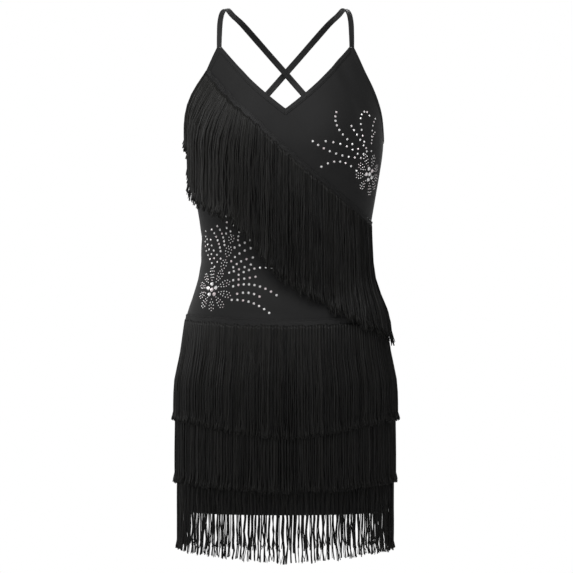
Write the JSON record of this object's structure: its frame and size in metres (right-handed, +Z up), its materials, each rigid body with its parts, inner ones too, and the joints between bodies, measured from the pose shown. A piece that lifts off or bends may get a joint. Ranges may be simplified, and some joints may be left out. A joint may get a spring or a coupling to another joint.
{
  "type": "latin dance dress",
  "caption": "Short fitted latin dance dress with a V neck, thin straps crossed on the back, a diagonal fringe trim over the front and tiers of fringe round the skirt, in its hollow worn form.",
  "frame": {"origin": "midway between the wearer's shoulders, level with the underside of the straps where they lie on them", "axes": "+Z is up along the wearer's body and the dress's longest extent, -Y is where the front faces, and +X is towards the wearer's left"},
  "size_m": [0.3385, 0.2674, 0.8229],
  "materials": {
    "jersey": "matt black stretch jersey",
    "strap_elastic": "black folded elastic binding",
    "fringe_thread": "soft sheen black rayon thread",
    "rhinestone": "clear foil-backed stones, seen in the visual model only"
  },
  "bodies": {
    "root": {"front_panel": "jersey", "back_panel": "jersey", "neck_binding": "strap_elastic", "strap_right": "strap_elastic", "strap_left": "strap_elastic", "fringe_diagonal": "fringe_thread", "fringe_hip": "fringe_thread", "fringe_middle": "fringe_thread", "fringe_hem": "fringe_thread"}
  },
  "joints": []
}
